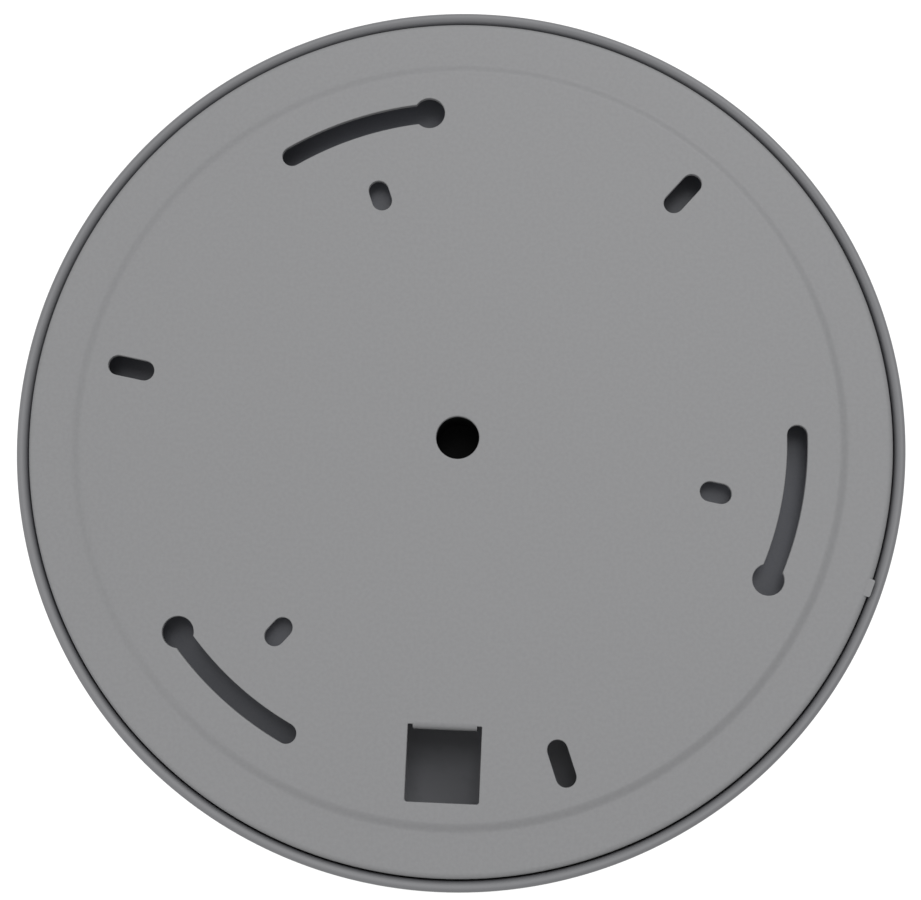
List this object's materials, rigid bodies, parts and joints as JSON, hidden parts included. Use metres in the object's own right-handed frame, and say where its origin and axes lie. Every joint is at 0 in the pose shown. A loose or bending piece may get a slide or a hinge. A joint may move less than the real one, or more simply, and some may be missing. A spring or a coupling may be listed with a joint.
{
  "type": "ceiling access point",
  "caption": "Round ceiling access point: a domed radio housing that twists onto a pressed-steel ceiling plate with arc keyholes, slots and a cable cut-out.",
  "frame": {"origin": "centre of the ceiling plate, on its ceiling-side face", "axes": "+Z points at the ceiling, -Y from the centre towards the cable cut-out"},
  "size_m": [0.201, 0.201, 0.038],
  "materials": {
    "plate_paint": "satin grey powder coat",
    "housing_plastic": "fine spark-eroded texture, dark grey",
    "cover_plastic": "fine satin texture, off-white",
    "black_rubber": "matt black",
    "screw_steel": "zinc plated",
    "light_pipe_clear": "frosted clear",
    "label_foil": "blank satin foil",
    "board_laminate": "green solder mask",
    "chip_resin": "moulded black resin",
    "gap_filler": "soft matt",
    "heat_sink_aluminium": "extruded, satin",
    "tinned_steel": "tinned, slightly dull",
    "antenna_brass": "stamped",
    "ceramic": "unglazed",
    "black_plastic": "moulded black",
    "contact_gold": "gold flashed",
    "transformer_core": "ferrite grey",
    "capacitor_can": "sleeved can",
    "led_body": "clear resin",
    "switch_plunger": "moulded"
  },
  "bodies": {
    "ceiling_bracket": {"mounting_plate": "plate_paint"},
    "access_point": {"rear_housing": "housing_plastic", "front_cover": "cover_plastic", "cover_seal": "black_rubber", "cover_screws": "screw_steel", "status_light_pipe": "light_pipe_clear", "centre_buffer": "black_rubber", "rating_label": "label_foil", "main_board": "board_laminate", "board_screws": "screw_steel", "processor": "chip_resin", "memory_chip_1": "chip_resin", "memory_chip_2": "chip_resin", "thermal_pad": "gap_filler", "heat_sink": "heat_sink_aluminium", "heat_sink_screws": "screw_steel", "radio_shield_1": "tinned_steel", "radio_shield_2": "tinned_steel", "antenna_low_1": "antenna_brass", "antenna_low_2": "antenna_brass", "antenna_low_3": "antenna_brass", "antenna_high_1": "antenna_brass", "antenna_high_2": "antenna_brass", "antenna_high_3": "antenna_brass", "bluetooth_antenna": "ceramic", "jack_shell": "tinned_steel", "jack_insert": "black_plastic", "jack_contacts": "contact_gold", "lan_transformer": "chip_resin", "power_transformer": "transformer_core", "power_capacitor_1": "capacitor_can", "power_capacitor_2": "capacitor_can", "status_led": "led_body", "reset_switch": "black_plastic"},
    "reset_key": {"reset_button": "black_plastic", "reset_plunger": "switch_plunger"}
  },
  "joints": [
    {"name": "twist_lock", "type": "hinge", "parent": "ceiling_bracket", "child": "access_point", "pos_m": [0, 0, 0], "axis": [0, 0, 1], "range_deg": [-20, 0]},
    {"name": "reset_press", "type": "slide", "parent": "access_point", "child": "reset_key", "axis": [0, 1, 0], "range_m": [0, 0.0005], "stiffness_N_per_m": 2000, "springref_m": -0.0003}
  ]
}
